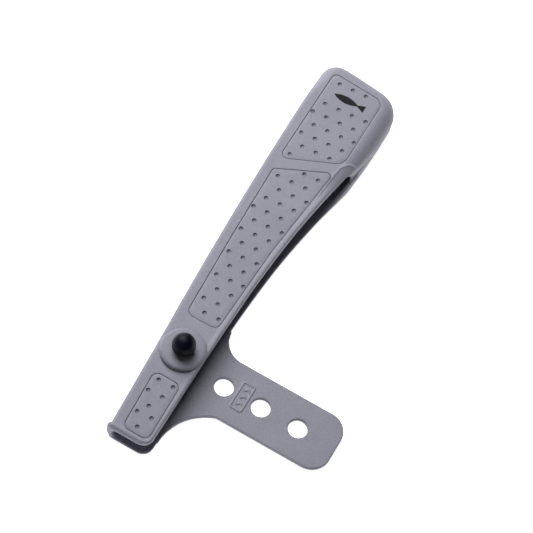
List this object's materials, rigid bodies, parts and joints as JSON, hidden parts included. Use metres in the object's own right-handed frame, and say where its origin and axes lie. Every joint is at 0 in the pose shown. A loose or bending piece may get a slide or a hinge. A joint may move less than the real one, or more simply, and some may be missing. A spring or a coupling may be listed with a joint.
{
  "type": "lip grip sheath",
  "caption": "Soft tapered sheath for a fish lip grip: open mouth, long side slit, closed head, ball stud and a holed strap that folds over on to it.",
  "frame": {"origin": "on the flat back face, under the ball stud", "axes": "+Y towards the closed head, +X along the strap, +Z out of the front face"},
  "size_m": [0.0905, 0.203, 0.0222],
  "materials": {
    "sleeve": "matt moulded grey rubber with a fine grain",
    "grip_panel": "matt moulded grey rubber, dimpled",
    "print": "matt black ink",
    "ball": "satin black",
    "stud_metal": "plain steel"
  },
  "bodies": {
    "sleeve": {"sleeve_back": "sleeve", "sleeve_front": "sleeve", "sleeve_head": "sleeve", "upper_grip_panel": "grip_panel", "middle_grip_panel": "grip_panel", "printed_mark": "print"},
    "mouth_flap": {"mouth_flap": "sleeve", "lower_grip_panel": "grip_panel", "stud_boss": "sleeve", "stud_washer": "stud_metal", "stud_screw": "stud_metal", "ball_stud": "ball"},
    "strap_root_link": {"strap_root_link": "sleeve"},
    "strap_middle_link": {"strap_middle_link": "sleeve"},
    "strap_tip": {"strap_tip": "sleeve"}
  },
  "joints": [
    {"name": "flap_open", "type": "hinge", "parent": "sleeve", "child": "mouth_flap", "pos_m": [-0.01122, 0, 0.00575], "axis": [0.0564, -0.9983, -0.013], "range_deg": [0, 20], "stiffness_Nm_per_rad": 0.15},
    {"name": "strap_fold_root", "type": "hinge", "parent": "sleeve", "child": "strap_root_link", "pos_m": [0.014, 0, 0.002], "axis": [0, -1, 0], "range_deg": [0, 80], "stiffness_Nm_per_rad": 0.01},
    {"name": "strap_fold_middle", "type": "hinge", "parent": "strap_root_link", "child": "strap_middle_link", "pos_m": [0.0295, 0, 0.002], "axis": [0, -1, 0], "range_deg": [0, 60], "stiffness_Nm_per_rad": 0.01},
    {"name": "strap_fold_tip", "type": "hinge", "parent": "strap_middle_link", "child": "strap_tip", "pos_m": [0.047, 0, 0.002], "axis": [0, -1, 0], "range_deg": [0, 20], "stiffness_Nm_per_rad": 0.01}
  ],
  "couplings": [
    {"joint": "strap_fold_middle", "follows": "strap_fold_root", "ratio": 0.75},
    {"joint": "strap_fold_tip", "follows": "strap_fold_root", "ratio": 0.25}
  ]
}
